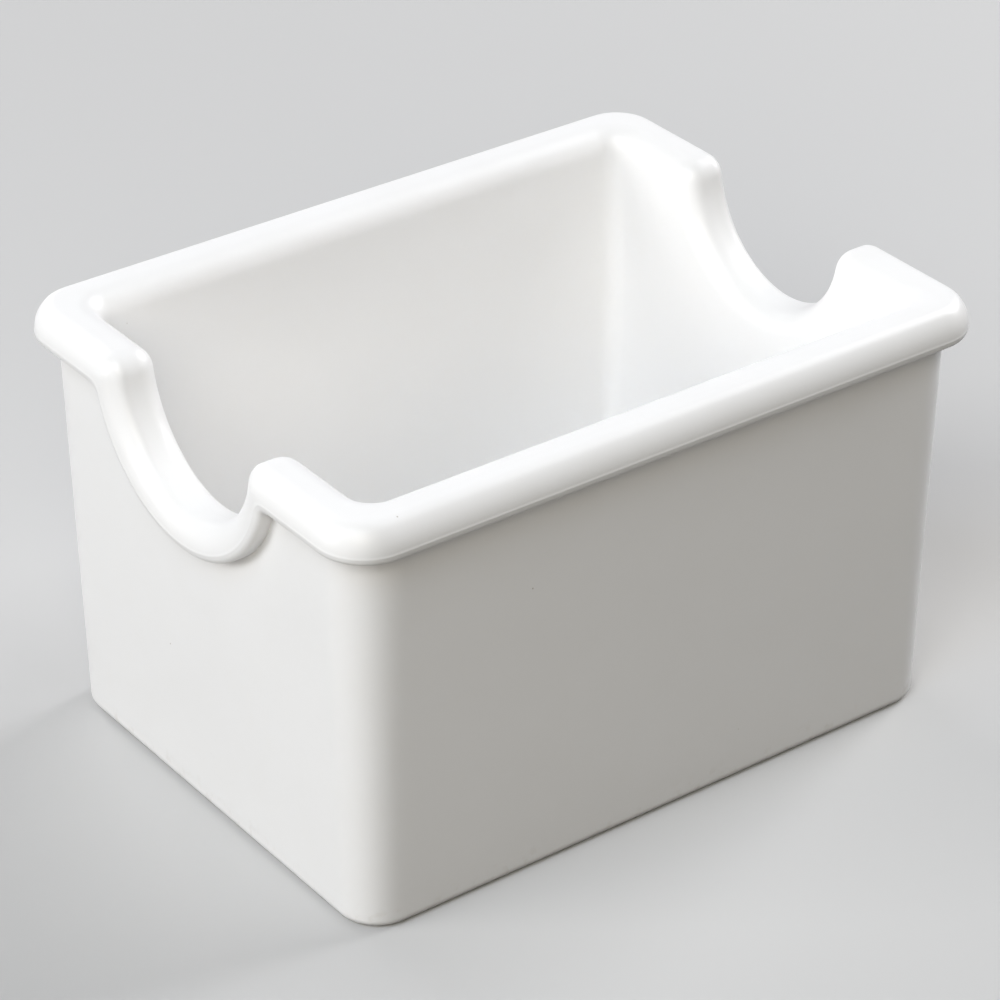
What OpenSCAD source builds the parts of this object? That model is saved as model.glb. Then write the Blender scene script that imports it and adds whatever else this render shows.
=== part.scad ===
// Sugar packet holder: a one-piece moulded tub with a rolled rim and a finger
// scoop in each short wall. The origin is at the middle of the base, on the
// table; X runs along the long side, Y across it and Z up.

/* [Overall] */
// Length over the rim
holder_l = 104.7; // [85:0.1:130]
// Width over the rim
holder_w = 79.7; // [64:0.1:100]
// Height of the rim above the table
holder_h = 63.5; // [45:0.5:90]

/* [Walls] */
// Thickness of the walls just under the rim
wall_t = 5.6; // [4.5:0.1:7]
// Thickness of the floor
floor_t = 4.5; // [2.5:0.1:7]
// Draft of the outer faces in degrees
draft_angle = 1.3; // [0.5:0.1:2.5]
// Radius of the upright outer corners just under the rim
corner_r = 7.3; // [5:0.1:10]
// Radius of the upright corners inside
inner_corner_r = 2.6; // [2.2:0.1:5]
// Radius of the edge round the base
base_edge_r = 1.4; // [0.5:0.1:2.5]
// Radius between the inner walls and the floor
floor_fillet_r = 2; // [0.5:0.1:2.2]

/* [Rim] */
// How far the rim stands out from the walls
rim_overhang = 2.35; // [1:0.05:3.5]
// Height of the rim's outer face, top to lower edge
rim_depth = 5.2; // [4.5:0.1:7]
// Depth of the widest line, where the two halves of the mould part
parting_depth = 3.7; // [3.4:0.1:4.2]
// How far the outer face comes in from that line to the lower edge
rim_draw_in = 0.5; // [0.2:0.1:0.8]
// Radius of the rim's corners seen from above
rim_corner_r = 7.3; // [5:0.1:10]
// Radius of the rim's outer top edge
rim_outer_r = 3.1; // [1.5:0.1:3.2]
// Radius of the rim's inner top edge
rim_inner_r = 3.3; // [1.5:0.1:3.3]

/* [Finger scoops] */
// Depth of a scoop below the rim's top
scoop_depth = 15.25; // [12:0.05:18]
// Radius of a scoop's bottom
scoop_r = 15.25; // [13:0.05:18]
// Radius of the shoulders where a scoop meets the rim
shoulder_r = 3.355; // [3.31:0.005:3.8]

/* [Hidden] */
$fn = 96;

// One overrun serves every cut
over = 1;

// The rim's full width, and the space inside the walls
rim_t = wall_t + rim_overhang;
inner_l = holder_l - 2 * rim_t;
inner_w = holder_w - 2 * rim_t;

// The outer walls where they meet the underside of the rim
body_l = holder_l - 2 * rim_overhang;
body_w = holder_w - 2 * rim_overhang;
body_h = holder_h - rim_depth;
body_foot_r = corner_r - body_h * tan(draft_angle);
// They run on upright inside the rim, to the middle of its depth
neck_h = body_h + rim_depth / 2;

// A scoop's path in its wall, with Z measured from the rim's top: an arc round
// scoop_center, and two shoulders round their own centres that touch it
scoop_center = [0, scoop_r - scoop_depth];
shoulder_center = [
    sqrt(pow(scoop_r + shoulder_r, 2) - pow(scoop_center[1] + shoulder_r, 2)),
    -shoulder_r
];
// The plane where arc and shoulder meet runs through both centres, to here
reach_shares = 1.5;
arc_end = scoop_center + reach_shares * (shoulder_center - scoop_center);
// The wall is cut back to the middle of the edge's straight inner stretch
cut_back = (rim_inner_r + rim_depth) / 2;
// Length of the pin inside each shoulder
pin_l = rim_t / 2;

// Sweeps a half section, drawn out from a corner's axis, round a rectangle
// whose corner axes stand l apart along X and w apart along Y, and fills the
// middle from height z1 to height z2
module round_plan(l, w, z1, z2) {
    for (x = [-l / 2, l / 2], y = [-w / 2, w / 2])
        translate([x, y, 0]) rotate_extrude() children();
    for (side = [0, 180]) rotate([0, 0, side]) {
        translate([l / 2, w / 2, 0]) rotate([90, 0, 0]) linear_extrude(w) children();
        translate([-l / 2, w / 2, 0]) rotate([90, 0, 90]) linear_extrude(l) children();
    }
    translate([-l / 2, -w / 2, z1]) cube([l, w, z2 - z1]);
}

// Cuts a corner that sits at the origin, with its solid below and to the left,
// to a quarter round of radius r
module edge_cut(r) {
    difference() {
        translate([-r, -r]) square(r + over);
        translate([-r, -r]) circle(r);
    }
}

// Half section of the drafted body, rounded where it meets the table, and of
// the neck above it
module body_section() {
    // The edge's arc touches the table and the drafted face
    arc_x = body_foot_r - base_edge_r * tan(45 - draft_angle / 2);
    touch = [arc_x + base_edge_r * cos(draft_angle), base_edge_r * (1 - sin(draft_angle))];
    polygon([
        [0, 0], [arc_x, 0], [arc_x, base_edge_r], touch,
        [corner_r, body_h], [corner_r, neck_h], [0, neck_h]
    ]);
    intersection() {
        translate([arc_x, base_edge_r]) circle(base_edge_r);
        translate([arc_x, 0]) square(base_edge_r);
    }
}

// Section of the rim's outer part: its top is at Y zero, and it reaches from X
// zero out to its widest line at w
module outer_section(w) {
    difference() {
        polygon([
            [0, 0], [w, 0], [w, -parting_depth], [w - rim_draw_in, -rim_depth], [0, -rim_depth]
        ]);
        translate([w, 0]) edge_cut(rim_outer_r);
    }
}

// The same, drawn out from a corner's axis
module rim_section() {
    translate([0, holder_h]) outer_section(rim_corner_r);
}

// Half section of the space inside, flared where it meets the rim's top
module inside_section() {
    difference() {
        translate([0, floor_t]) square([inner_corner_r, holder_h + over - floor_t]);
        translate([inner_corner_r, floor_t]) mirror([0, 1]) edge_cut(floor_fillet_r);
    }
    difference() {
        translate([inner_corner_r, holder_h - rim_inner_r])
            square([rim_inner_r, rim_inner_r + over]);
        translate([inner_corner_r + rim_inner_r, holder_h - rim_inner_r]) circle(rim_inner_r);
    }
}

// Section of the rolled edge: X is outward through the wall and Y up, with the
// origin on top in the middle of its thickness
module edge_section() {
    difference() {
        translate([-rim_t / 2, 0]) outer_section(rim_t);
        translate([-rim_t / 2, 0]) mirror([1, 0]) edge_cut(rim_inner_r);
    }
}

// Turns what is drawn about Z, or drawn flat, so that its Z lies outward
// along X, its X along Y and its Y upward
module face_out() {
    rotate([90, 0, 90]) children();
}

// What a scoop takes out of its wall before the rolled edge is added
module scoop_cut_outline() {
    intersection() {
        union() {
            translate(scoop_center) circle(scoop_r + cut_back);
            translate([-shoulder_center[0], -shoulder_r])
                square([2 * shoulder_center[0], shoulder_r + over]);
        }
        translate([-shoulder_center[0], -scoop_depth - rim_depth])
            square([2 * shoulder_center[0], scoop_depth + rim_depth + over]);
    }
}

// The rolled edge along one scoop, in a frame at the rim's top
module scoop_edge() {
    // Bottom arc
    face_out() intersection() {
        translate(scoop_center) rotate_extrude()
            translate([scoop_r, 0]) rotate(90) edge_section();
        translate([0, 0, -rim_t]) linear_extrude(2 * rim_t) polygon([
            scoop_center, arc_end, [arc_end[0], -arc_end[0]],
            [-arc_end[0], -arc_end[0]], [-arc_end[0], arc_end[1]]
        ]);
    }
    // Shoulders, each swept about its own centre. A pin round that centre, all of
    // it inside the plastic, makes them one with what they touch.
    for (side = [0, 1]) mirror([0, side, 0]) face_out() {
        intersection() {
            translate(shoulder_center) rotate_extrude() intersection() {
                translate([shoulder_r, 0]) mirror([1, -1]) edge_section();
                translate([0, -rim_t]) square([shoulder_r, 2 * rim_t]);
            }
            translate([0, 0, -rim_t]) linear_extrude(2 * rim_t) polygon([
                shoulder_center, [shoulder_center[0], over], [0, over], scoop_center
            ]);
        }
        translate([shoulder_center[0], shoulder_center[1], -pin_l / 2])
            cylinder(h = pin_l, r = shoulder_r / 2);
    }
}

module holder() {
    color("white") {
        difference() {
            union() {
                round_plan(body_l - 2 * corner_r, body_w - 2 * corner_r, 0, neck_h)
                    body_section();
                round_plan(holder_l - 2 * rim_corner_r, holder_w - 2 * rim_corner_r,
                    body_h, holder_h) rim_section();
            }
            round_plan(inner_l - 2 * inner_corner_r, inner_w - 2 * inner_corner_r,
                floor_t, holder_h + over) inside_section();
            translate([-holder_l / 2 - over, 0, holder_h]) face_out()
                linear_extrude(holder_l + 2 * over) scoop_cut_outline();
        }
        for (end = [0, 1]) mirror([end, 0, 0])
            translate([(holder_l - rim_t) / 2, 0, holder_h]) scoop_edge();
    }
}

holder();
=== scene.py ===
from math import asin, atan2, cos, pi, radians, sin, sqrt, tan

import bmesh
import bpy
from mathutils import Matrix, Vector


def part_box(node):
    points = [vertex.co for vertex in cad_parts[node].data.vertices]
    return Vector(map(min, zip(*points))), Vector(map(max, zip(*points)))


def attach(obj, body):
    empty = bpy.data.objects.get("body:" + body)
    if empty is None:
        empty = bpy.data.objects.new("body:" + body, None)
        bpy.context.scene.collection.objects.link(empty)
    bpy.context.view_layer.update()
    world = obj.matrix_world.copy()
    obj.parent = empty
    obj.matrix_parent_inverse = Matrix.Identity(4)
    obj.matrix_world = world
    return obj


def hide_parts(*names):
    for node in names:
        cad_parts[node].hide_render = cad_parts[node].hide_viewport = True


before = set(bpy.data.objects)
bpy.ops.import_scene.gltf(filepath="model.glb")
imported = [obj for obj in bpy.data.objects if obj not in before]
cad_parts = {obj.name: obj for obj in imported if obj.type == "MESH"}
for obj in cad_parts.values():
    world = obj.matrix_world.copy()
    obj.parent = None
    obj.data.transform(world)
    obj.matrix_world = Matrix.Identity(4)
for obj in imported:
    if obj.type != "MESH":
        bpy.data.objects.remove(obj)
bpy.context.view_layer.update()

scene = bpy.context.scene
mm = 0.001
tiny = 1e-7
close = tiny * 10  # points no further apart than this count as one
print("frame loaded")


def towards(azimuth, elevation):
    # from the origin, in degrees: zero is the front, and ninety the right end or upright
    turn, lift = radians(azimuth), radians(elevation)
    return Vector((sin(turn) * cos(lift), -cos(turn) * cos(lift), sin(lift)))


# It stands where the photograph was taken from: turned and tilted round the
# middle of the base, then slid across the view and pulled back.
cameraPlace = {
    "focalPixels": 3884.64,
    "imagePixels": 1000,
    "azimuth": -36.5725,
    "elevation": 31.0006,
    "roll": 0.0237,
    "slideRight": 0.2508 * mm,
    "slideUp": -27.3067 * mm,
    "distance": 553.5944 * mm,
    "sensor": 36,
    "clip": (0.01, 20),
}


def makeCamera(place):
    back, roll = towards(place["azimuth"], place["elevation"]), radians(place["roll"])
    level = Vector((0, 0, 1)).cross(back).normalized()
    upright = back.cross(level)
    right = level * cos(roll) + upright * sin(roll)
    up = upright * cos(roll) - level * sin(roll)
    data = bpy.data.cameras.new("camera")
    data.sensor_width = place["sensor"]
    data.lens = data.sensor_width * place["focalPixels"] / place["imagePixels"]
    data.clip_start, data.clip_end = place["clip"]
    camera = bpy.data.objects.new("camera", data)
    scene.collection.objects.link(camera)
    spot = back * place["distance"] - right * place["slideRight"] - up * place["slideUp"]
    camera.matrix_world = Matrix.Translation(spot) @ Matrix((right, up, back)).transposed().to_4x4()
    scene.camera = camera


makeCamera(cameraPlace)
print("camera set")


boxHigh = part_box("holder")[1]

tubForm = {
    "wall": 5.6 * mm,  # just under the rim
    "floor": 4.5 * mm,
    "draft": radians(1.3),
    "wallCorner": 7.3 * mm,
    "insideCorner": 2.6 * mm,
    "footRound": 1.4 * mm,
    "floorRound": 2.0 * mm,
    "rimOverhang": 2.35 * mm,
    "rimDepth": 5.2 * mm,
    "rimCorner": 7.15 * mm,
    "rollIn": 2.86 * mm,  # width of the outer roll
    "rollDown": 3.9 * mm,  # its height, down to the widest line
    "rollTop": 2.2 * mm,  # radius of its upper arc
    "drawIn": 0.9 * mm,  # how far the rim rounds in below the widest line
    "innerRoll": 3.3 * mm,
    "scoopDepth": 15.25 * mm,
    "scoopRadius": 15.25 * mm,
    "shoulder": 3.355 * mm,
    "partingWidth": 0.24 * mm,  # the mould's parting line stands on the widest line
    "partingProud": 0.055 * mm,
    "margin": 0.3 * mm,  # flat kept beside each round, so that it shades flat
    "shoulderMargins": (3.3 * mm, 2.7 * mm, 2.1 * mm, 1.5 * mm),
    "pastNook": radians(0.7),  # how far the arc's first step runs past the lower corner
    "nookReach": 2.4 * mm,  # where the rim's lower edge turns down into a scoop's
    "nookPasses": 8,
    "rollSteps": 8,
    "cornerSteps": 16,
    "shoulderSteps": 14,
    "scoopSteps": 36,
    "edgeSteps": 8,
    "lipSteps": 7,
    "smoothBelow": radians(50),
}


def addPoint(bm, chain, place):
    # lengthens a chain of edges by one point
    made = bmesh.ops.extrude_vert_indiv(bm, verts=[chain[-1]])["verts"][0]
    made.co = place
    chain.append(made)


def addArc(bm, chain, centre, axis, angle, steps):
    for step in range(steps):
        made = bmesh.ops.extrude_vert_indiv(bm, verts=[chain[-1]])["verts"][0]
        turned = Matrix.Rotation(angle / steps, 3, axis)
        bmesh.ops.rotate(bm, verts=[made], cent=centre, matrix=turned)
        chain.append(made)


def pushOn(bm, section, move):
    # draws the section on to a new place
    edges = [g for g in section if isinstance(g, bmesh.types.BMEdge)]
    made = bmesh.ops.extrude_edge_only(bm, edges=edges)["geom"]
    verts = [g for g in made if isinstance(g, bmesh.types.BMVert)]
    for v in verts:
        v.co = move(v.co.copy())
    fresh = set(verts)
    rails = [g for g in made if isinstance(g, bmesh.types.BMEdge) and fresh.issuperset(g.verts)]
    return verts + rails


def spinOn(bm, section, centre, axis, angle, steps):
    made = bmesh.ops.spin(bm, geom=section, cent=centre, axis=axis, angle=angle, steps=steps)
    return made["geom_last"]


def slideTo(axis, value):
    def move(co):
        co[axis] = value
        return co
    return move


def outward(co, axis):
    # level direction from a corner's axis, or from a side's line, to a point
    away = Vector((max(co.x - axis[0], 0), max(co.y - axis[1], 0), 0))
    return away.normalized()


def makeTub(form):
    halfL = boxHigh.x - form["partingProud"] - tiny
    halfW = boxHigh.y - form["partingProud"] - tiny
    top = boxHigh.z
    margin = form["margin"]
    insideX = boxHigh.x - form["wall"] - form["rimOverhang"]
    insideY = boxHigh.y - form["wall"] - form["rimOverhang"]
    rimAxis = (halfL - form["rimCorner"], halfW - form["rimCorner"])
    wallAxis = (boxHigh.x - form["rimOverhang"] - form["wallCorner"],
                boxHigh.y - form["rimOverhang"] - form["wallCorner"])
    insideAxis = (insideX - form["insideCorner"], insideY - form["insideCorner"])

    # a scoop is an arc round its own axis, and a shoulder that touches the rim and the arc
    poleDepth = form["shoulder"]
    scoopZ = top + form["scoopRadius"] - form["scoopDepth"]
    shoulderZ = top - poleDepth
    shoulderY = sqrt((form["scoopRadius"] + poleDepth) ** 2 - (scoopZ - shoulderZ) ** 2)
    turn = atan2(shoulderY, scoopZ - shoulderZ)

    def meetY(depth):
        # where the line and the arc at this depth under the edge meet
        return sqrt((form["scoopRadius"] + depth) ** 2 - (scoopZ - top + depth) ** 2)

    # the first step of the arc holds the corner where the lower edges meet
    lowTurn = atan2(meetY(form["rimDepth"]), scoopZ - top + form["rimDepth"])
    firstStep = turn - lowTurn + form["pastNook"]

    bm = bmesh.new()
    role = bm.verts.layers.int.new("role")
    outerTop, outerEnd, innerTop, innerEnd = 1, 2, 3, 4

    def sweep(section, axis):
        # half the long side, the corner, the short side, the shoulder and half the scoop
        section = pushOn(bm, section, slideTo(0, axis[0] - margin))
        section = pushOn(bm, section, slideTo(0, axis[0]))
        section = spinOn(bm, section, (*axis, 0), (0, 0, 1), -pi / 2, form["cornerSteps"])
        section = pushOn(bm, section, slideTo(1, axis[1] - margin))
        for beside in form["shoulderMargins"]:
            section = pushOn(bm, section, slideTo(1, shoulderY + beside))
        section = pushOn(bm, section, slideTo(1, shoulderY))
        shoulderCentre = (0, shoulderY, shoulderZ)
        section = spinOn(bm, section, shoulderCentre, (1, 0, 0), turn, form["shoulderSteps"])
        section = spinOn(bm, section, (0, 0, scoopZ), (1, 0, 0), -firstStep, 1)
        return spinOn(bm, section, (0, 0, scoopZ), (1, 0, 0), firstStep - turn, form["scoopSteps"])

    # the outer roll is two arcs that touch, and the second one ends on the widest line
    rollIn, rollDown, rollTop = form["rollIn"], form["rollDown"], form["rollTop"]
    rollSide = (rollIn ** 2 + (rollDown - rollTop) ** 2 - rollTop ** 2) / (2 * (rollIn - rollTop))
    meetAngle = atan2(rollDown - rollTop, rollSide - rollIn)
    poleAngle = asin((rollDown - poleDepth) / rollSide)

    def outerSection():
        # from the flat on top, over the roll and down to the shoulder's own axis
        chain = [bm.verts.new((0, halfW - rollIn - margin, top))]
        addPoint(bm, chain, (0, halfW - rollIn, top))
        upper, lower = (0, halfW - rollIn, top - rollTop), (0, halfW - rollSide, top - rollDown)
        addArc(bm, chain, upper, "X", meetAngle - pi / 2, form["rollSteps"])
        addArc(bm, chain, lower, "X", poleAngle - meetAngle, form["rollSteps"])
        return chain

    def innerSection():
        roll = form["innerRoll"]
        chain = [bm.verts.new((0, insideY + roll + margin, top))]
        addPoint(bm, chain, (0, insideY + roll, top))
        addArc(bm, chain, (0, insideY + roll, top - roll), "X", pi / 2, 2 * form["rollSteps"])
        addPoint(bm, chain, (0, insideY, top - poleDepth))
        return chain

    def geomOf(chain, topRole, endRole):
        chain[0][role], chain[-1][role] = topRole, endRole
        for v in chain[1:-1]:
            v[role] = 0
        edges = [e for v in chain for e in v.link_edges if e.other_vert(v) in chain]
        return chain + list(dict.fromkeys(edges))

    sweep(geomOf(outerSection(), outerTop, outerEnd), rimAxis)
    sweep(geomOf(innerSection(), innerTop, innerEnd), insideAxis)
    bmesh.ops.remove_doubles(bm, verts=bm.verts[:], dist=tiny)

    def rail(which):
        return [e for e in bm.edges
                if len(e.link_faces) == 1 and all(v[role] in which for v in e.verts)
                and e.verts[0][role] == e.verts[1][role]]

    bmesh.ops.bridge_loops(bm, edges=rail((outerTop, innerTop)))

    # outside: down the rest of the roll, over the parting line and round under the rim
    depthNow = poleDepth

    def sink(depth, inset):
        before, axis = depthNow, rimAxis

        def move(co):
            arm = Vector((0, co.y, co.z - scoopZ))
            onLevel = abs(top - before - co.z) < close
            onArc = abs(arm.length - form["scoopRadius"] - before) < close
            if onLevel and onArc:
                co.y, co.z = meetY(depth), top - depth
            elif onLevel:
                co.z = top - depth
            else:
                arm *= (form["scoopRadius"] + depth) / (form["scoopRadius"] + before)
                co.y, co.z = arm.y, scoopZ + arm.z
            return co - outward(co, axis) * inset
        return move

    ring = rail((outerEnd,))
    ridge, proud = form["partingWidth"], form["partingProud"]
    below = rollDown + ridge
    steps = [(rollDown - rollSide * sin(poleAngle / 2), rollSide * (1 - cos(poleAngle / 2))),
             (rollDown, 0), (rollDown + ridge / 2, -proud), (below, 0)]
    for step in range(form["lipSteps"]):
        angle = pi / 2 * (step + 1) / form["lipSteps"]
        steps.append((below + (form["rimDepth"] - below) * sin(angle),
                      form["drawIn"] * (1 - cos(angle))))
    insetNow = rollSide * (1 - cos(poleAngle))
    lowRings = []
    for depth, inset in steps:
        ring = pushOn(bm, ring, sink(depth, inset - insetNow))
        depthNow, insetNow = depth, inset
        lowRings.append((depth, ring))

    wallTop = top - form["rimDepth"]
    lowY = meetY(form["rimDepth"])
    wallX = wallAxis[0] + form["wallCorner"]

    def underRim(co):
        # from the rim's lower edge in to the wall: at a corner, a long side or a short one
        side = outward(co, rimAxis)
        if co.x > rimAxis[0] - tiny and co.y > rimAxis[1] - tiny:
            return Vector((*wallAxis, co.z)) + side * form["wallCorner"]
        if side.y > side.x:
            return Vector((co.x * wallAxis[0] / rimAxis[0], wallAxis[1] + form["wallCorner"], co.z))
        if co.y > lowY:
            co.y = lowY + (co.y - lowY) * (wallAxis[1] - lowY) / (rimAxis[1] - lowY)
        co.x = wallX - (wallTop - co.z) * tan(form["draft"])
        return co

    def dropWall(z):
        def move(co):
            co -= outward(co, wallAxis) * (co.z - z) * tan(form["draft"])
            co.z = z
            return co
        return move

    def drawIn(axis, inset, z):
        def move(co):
            co -= outward(co, axis) * inset
            co.z = z
            return co
        return move

    ring = pushOn(bm, ring, underRim)

    # the nook where the rim's lower edge meets a scoop's is rounded, more so lower down
    for depth, level in lowRings:
        nook = Vector((0, meetY(depth), top - depth))
        share = (depth - poleDepth) / (form["rimDepth"] - poleDepth)
        along = {g for g in level if isinstance(g, bmesh.types.BMEdge)}
        near = [g for g in level if isinstance(g, bmesh.types.BMVert)
                and (Vector((0, g.co.y, g.co.z)) - nook).length < form["nookReach"]
                and g.co.x > rimAxis[0]]
        beside = {v: [e.other_vert(v) for e in v.link_edges if e in along] for v in near}
        for step in range(form["nookPasses"]):
            places = {v: (ends[0].co + ends[1].co) / 2 for v, ends in beside.items()}
            for v, place in places.items():
                v.co.yz = v.co.lerp(place, share / 2).yz

    # down the wall and round on to the table
    foot = form["footRound"]
    touch = foot * (1 - sin(form["draft"]))
    ring = pushOn(bm, ring, dropWall(touch + margin))
    ring = pushOn(bm, ring, dropWall(touch))
    angle = form["draft"]
    for step in range(form["edgeSteps"]):
        before = angle
        angle = form["draft"] + (pi / 2 - form["draft"]) * (step + 1) / form["edgeSteps"]
        ring = pushOn(bm, ring, drawIn(wallAxis, foot * (cos(before) - cos(angle)),
                                       foot * (1 - sin(angle))))
    ring = pushOn(bm, ring, drawIn(wallAxis, margin, 0))

    # inside: down the wall and round on to the floor
    ring = rail((innerEnd,))
    floorRound, floorZ = form["floorRound"], form["floor"]
    ring = pushOn(bm, ring, slideTo(2, floorZ + floorRound + margin))
    ring = pushOn(bm, ring, slideTo(2, floorZ + floorRound))
    for step in range(form["edgeSteps"]):
        angle, before = (pi / 2 * k / form["edgeSteps"] for k in (step + 1, step))
        ring = pushOn(bm, ring, drawIn(insideAxis, floorRound * (cos(before) - cos(angle)),
                                       floorZ + floorRound * (1 - sin(angle))))
    ring = pushOn(bm, ring, drawIn(insideAxis, margin, floorZ))

    # the other three quarters, then the underside and the floor
    for axis in "XY":
        everything = bm.verts[:] + bm.edges[:] + bm.faces[:]
        bmesh.ops.mirror(bm, geom=everything, axis=axis, merge_dist=close)
    bmesh.ops.remove_doubles(bm, verts=bm.verts[:], dist=close)
    bmesh.ops.holes_fill(bm, edges=[e for e in bm.edges if len(e.link_faces) == 1], sides=0)
    bmesh.ops.recalc_face_normals(bm, faces=bm.faces[:])
    for f in bm.faces:
        f.smooth = True
    print("tub:", len(bm.verts), "points,", len(bm.faces), "faces,",
          sum(len(e.link_faces) != 2 for e in bm.edges), "open edges,",
          round(bm.calc_volume() / mm ** 3, 1), "cubic mm")
    mesh = bpy.data.meshes.new("tub")
    bm.to_mesh(mesh)
    bm.free()
    mesh.set_sharp_from_angle(angle=form["smoothBelow"])
    piece = bpy.data.objects.new("tub", mesh)
    scene.collection.objects.link(piece)
    return piece


tub = makeTub(tubForm)


plasticLook = {
    "colour": (0.955, 0.953, 0.948),
    "clouded": (0.930, 0.926, 0.916),  # where handling has dulled it
    "cloudSize": 7 * mm,
    "cloudRange": (0.35, 0.75),  # of the noise, from clear to clouded
    "cloudShare": 0.45,
    "roughness": (0.30, 0.43),  # polished and dulled
    "smudgeSize": 11 * mm,
    "smudgeRange": (0.3, 0.7),
    "grainSize": 0.45 * mm,  # fine texture of the mould
    "grainDepth": 0.004 * mm,
    "waveSize": 14 * mm,  # the walls aren't perfectly flat
    "waveDepth": 0.030 * mm,
    "speck": (0.62, 0.59, 0.54),
    "speckSpacing": 10 * mm,
    "speckSize": 0.16 * mm,
    "scuffHeight": 5 * mm,  # scuffs from the table, above the base
    "scuff": (0.85, 0.837, 0.815),
    "scuffSize": 1.6 * mm,
    "scuffRange": (0.52, 0.74),
    "detail": {"cloud": 4, "scuff": 5, "smudge": 3, "wave": 1, "grain": 2},
    "ior": 1.5,
}


def noiseNode(nodes, links, place, size, detail):
    node = nodes.new("ShaderNodeTexNoise")
    node.inputs["Scale"].default_value = 1 / size
    node.inputs["Detail"].default_value = detail
    links.new(place, node.inputs["Vector"])
    return node.outputs["Fac"]


def rangeNode(nodes, links, value, low, high, toLow=0, toHigh=1):
    node = nodes.new("ShaderNodeMapRange")
    node.interpolation_type = "SMOOTHSTEP"
    links.new(value, node.inputs["Value"])
    ends = {"From Min": low, "From Max": high, "To Min": toLow, "To Max": toHigh}
    for name, number in ends.items():
        node.inputs[name].default_value = number
    return node.outputs["Result"]


def timesNode(nodes, links, first, second):
    node = nodes.new("ShaderNodeMath")
    node.operation = "MULTIPLY"
    for socket, value in zip(node.inputs, (first, second)):
        if isinstance(value, float):
            socket.default_value = value
        else:
            links.new(value, socket)
    return node.outputs["Value"]


def mixNode(nodes, links, share, first, second):
    node = nodes.new("ShaderNodeMix")
    node.data_type = "RGBA"
    links.new(share, node.inputs["Factor"])
    for name, value in (("A", first), ("B", second)):
        socket = next(i for i in node.inputs if i.name == name and i.type == "RGBA")
        if isinstance(value, tuple):
            socket.default_value = (*value, 1)
        else:
            links.new(value, socket)
    return next(o for o in node.outputs if o.type == "RGBA")


def bumpNode(nodes, links, height, depth, before=None):
    node = nodes.new("ShaderNodeBump")
    node.inputs["Strength"].default_value = 1
    node.inputs["Distance"].default_value = depth
    links.new(height, node.inputs["Height"])
    if before:
        links.new(before, node.inputs["Normal"])
    return node.outputs["Normal"]


def makePlastic(look):
    material = bpy.data.materials.new("whitePlastic")
    material.use_nodes = True
    nodes, links = material.node_tree.nodes, material.node_tree.links
    shader = nodes["Principled BSDF"]
    shader.inputs["IOR"].default_value = look["ior"]
    place = nodes.new("ShaderNodeTexCoord").outputs["Object"]

    def noise(name):
        return noiseNode(nodes, links, place, look[name + "Size"], look["detail"][name])

    # colour: faint clouding, scuffs low down, and a few specks
    cloud = rangeNode(nodes, links, noise("cloud"), *look["cloudRange"], 0, look["cloudShare"])
    colour = mixNode(nodes, links, cloud, look["colour"], look["clouded"])
    split = nodes.new("ShaderNodeSeparateXYZ")
    links.new(place, split.inputs["Vector"])
    low = rangeNode(nodes, links, split.outputs["Z"], 0, look["scuffHeight"], 1, 0)
    rub = rangeNode(nodes, links, noise("scuff"), *look["scuffRange"])
    colour = mixNode(nodes, links, timesNode(nodes, links, low, rub), colour, look["scuff"])
    spots = nodes.new("ShaderNodeTexVoronoi")
    spots.inputs["Scale"].default_value = 1 / look["speckSpacing"]
    links.new(place, spots.inputs["Vector"])
    edge = look["speckSize"] / look["speckSpacing"]
    speck = rangeNode(nodes, links, spots.outputs["Distance"], edge / 2, edge, 1, 0)
    colour = mixNode(nodes, links, speck, colour, look["speck"])
    links.new(colour, shader.inputs["Base Color"])

    # gloss: fingers have dulled it in places
    smudge = rangeNode(nodes, links, noise("smudge"), *look["smudgeRange"], *look["roughness"])
    links.new(smudge, shader.inputs["Roughness"])

    # surface: slow waves of the cooled walls, with the mould's fine grain on them
    normal = bumpNode(nodes, links, noise("wave"), look["waveDepth"])
    normal = bumpNode(nodes, links, noise("grain"), look["grainDepth"], normal)
    links.new(normal, shader.inputs["Normal"])
    return material


tub.data.materials.append(makePlastic(plasticLook))
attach(tub, "root")
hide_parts("holder")
print("plastic made")

studioLook = {
    "floorSize": 4,
    "floorDrop": 0.05 * mm,
    "floorSeen": (0.62, 0.62, 0.615),
    "floorBounce": (0.14, 0.14, 0.135),  # so that little light comes up from it
    "floorRoughness": 0.9,
    "floorGloss": 0.1,
    "floorFade": (0.3, 0.7),
    "backdropSeen": 0.72,
    "ambient": 0.0,
    "aim": (0, 0, 0.03),
    "lampAway": 1.2,
}

lampSetup = [
    # name, azimuth, elevation, size, energy, colour
    ("right", 90, 35, 0.7, 11.8, (0.985, 0.985, 1)),
    ("left", 290, 50, 0.7, 5.6, (0.76, 0.86, 1)),
    ("frontLeft", 315, 35, 0.7, 5.85, (1, 0.92, 0.79)),
    ("leftLow", 250, 18, 0.5, 6.1, (1, 0.99, 0.98)),
    ("backLow", 180, 18, 0.5, 4.3, (1, 0.965, 0.975)),
]


def seenByCamera(nodes, links):
    # one for what the camera sees, itself or in a gloss, and zero for the light
    path = nodes.new("ShaderNodeLightPath")
    seen = path.outputs["Is Camera Ray"]
    for ray in ("Is Glossy Ray", "Is Transmission Ray"):
        either = nodes.new("ShaderNodeMath")
        either.operation = "MAXIMUM"
        links.new(seen, either.inputs[0])
        links.new(path.outputs[ray], either.inputs[1])
        seen = either.outputs["Value"]
    return seen


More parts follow.
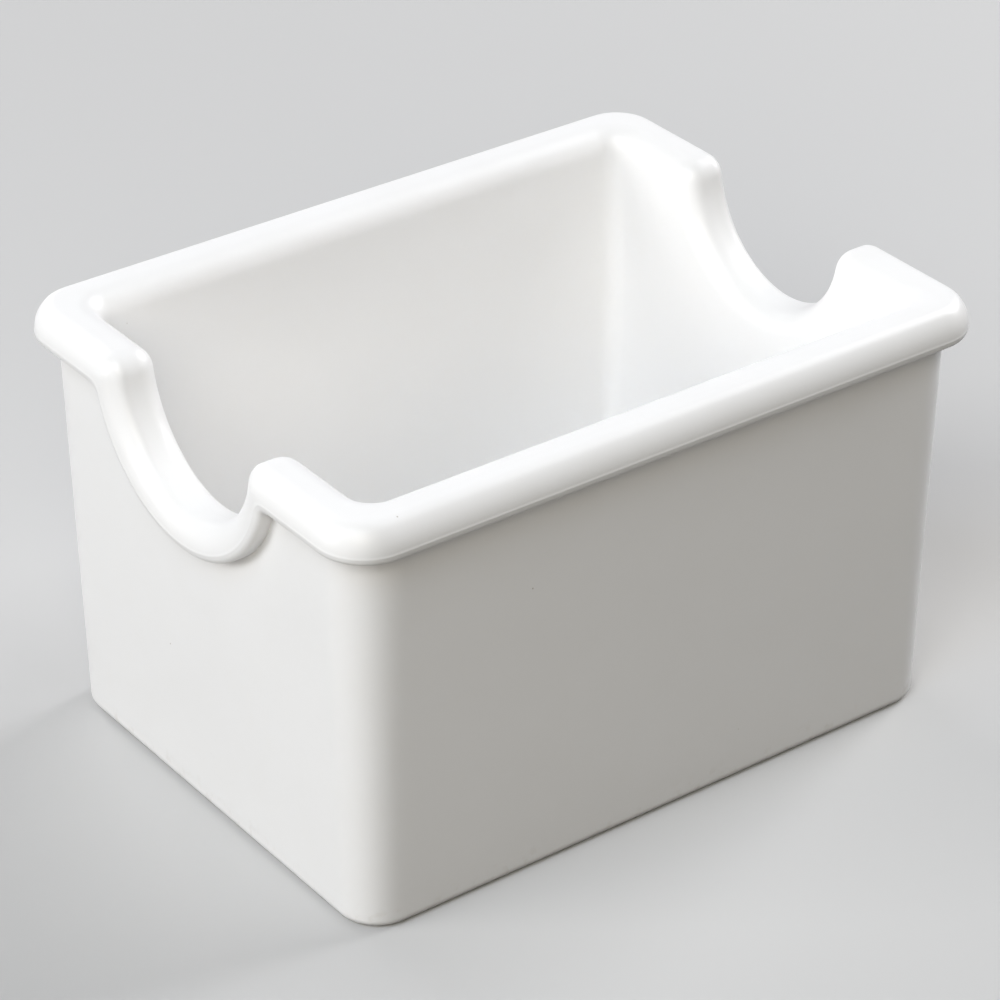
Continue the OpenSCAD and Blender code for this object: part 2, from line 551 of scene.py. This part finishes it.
def makeFloor(look):
    bm = bmesh.new()
    bmesh.ops.create_grid(bm, x_segments=1, y_segments=1, size=look["floorSize"] / 2)
    bmesh.ops.translate(bm, verts=bm.verts[:], vec=(0, 0, -look["floorDrop"]))
    mesh = bpy.data.meshes.new("floor")
    bm.to_mesh(mesh)
    bm.free()
    floor = bpy.data.objects.new("floor", mesh)
    scene.collection.objects.link(floor)
    material = bpy.data.materials.new("paleFloor")
    material.use_nodes = True
    nodes, links = material.node_tree.nodes, material.node_tree.links
    shader = nodes["Principled BSDF"]
    shader.inputs["Roughness"].default_value = look["floorRoughness"]
    shader.inputs["Specular IOR Level"].default_value = look["floorGloss"]
    seen = seenByCamera(nodes, links)
    colour = mixNode(nodes, links, seen, look["floorBounce"], look["floorSeen"])
    links.new(colour, shader.inputs["Base Color"])

    # it fades into the backdrop further out, so that no horizon shows
    away = nodes.new("ShaderNodeVectorMath")
    away.operation = "LENGTH"
    links.new(nodes.new("ShaderNodeTexCoord").outputs["Object"], away.inputs[0])
    far = rangeNode(nodes, links, away.outputs["Value"], *look["floorFade"])
    gone = timesNode(nodes, links, seen, far)
    links.new(rangeNode(nodes, links, gone, 0, 1, 1, 0), shader.inputs["Alpha"])
    mesh.materials.append(material)


def makeLamp(name, azimuth, elevation, size, energy, colour):
    data = bpy.data.lights.new(name, "AREA")
    data.size = size
    data.energy = energy
    data.color = colour
    lamp = bpy.data.objects.new(name, data)
    lamp.location = towards(azimuth, elevation) * studioLook["lampAway"]
    lamp.rotation_mode = "QUATERNION"
    lamp.rotation_quaternion = (Vector(studioLook["aim"]) - lamp.location).to_track_quat("-Z", "Y")
    lamp.visible_camera = False
    scene.collection.objects.link(lamp)


def makeWorld(look):
    world = bpy.data.worlds.new("studio")
    world.use_nodes = True
    nodes, links = world.node_tree.nodes, world.node_tree.links
    background = nodes["Background"]
    background.inputs["Color"].default_value = (1, 1, 1, 1)
    level = nodes.new("ShaderNodeMapRange")
    links.new(seenByCamera(nodes, links), level.inputs["Value"])
    level.inputs["To Min"].default_value = look["ambient"]
    level.inputs["To Max"].default_value = look["backdropSeen"]
    links.new(level.outputs["Result"], background.inputs["Strength"])
    scene.world = world


makeFloor(studioLook)
for setup in lampSetup:
    makeLamp(*setup)
makeWorld(studioLook)
scene.view_settings.view_transform = "Standard"
print("studio lit")
